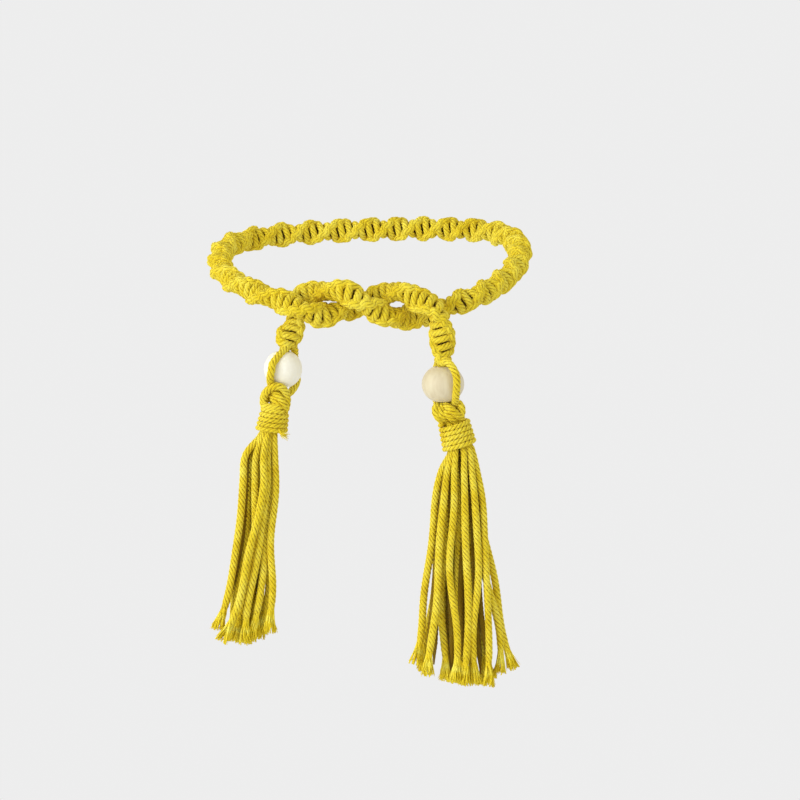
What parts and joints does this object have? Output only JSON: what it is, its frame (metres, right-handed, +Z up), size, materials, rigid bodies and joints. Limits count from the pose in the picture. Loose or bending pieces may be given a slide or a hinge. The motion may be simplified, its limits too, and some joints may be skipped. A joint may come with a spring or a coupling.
{
  "type": "curtain tieback tassel",
  "caption": "Knotted cotton curtain tieback: a spiral cord loop that gathers a curtain, wound round itself in front, with two hanging tails that end in wooden beads and tassels.",
  "frame": {"origin": "middle of the loop's inner back, where it bears on what holds it", "axes": "+Z up, -Y towards the front where the band winds round itself and the tails hang, +X to the right as seen from the front"},
  "size_m": [0.1956, 0.1469, 0.2718],
  "materials": {
    "cotton_cord": "matt three-ply cotton cord",
    "cream_wood": "smooth, painted creamy white",
    "beige_wood": "smooth, clear-finished pale wood"
  },
  "bodies": {
    "root": {"band": "cotton_cord", "bead_left": "cream_wood", "bead_right": "beige_wood", "collar_left": "cotton_cord", "collar_right": "cotton_cord", "tassel_left": "cotton_cord", "tassel_right": "cotton_cord"}
  },
  "joints": []
}
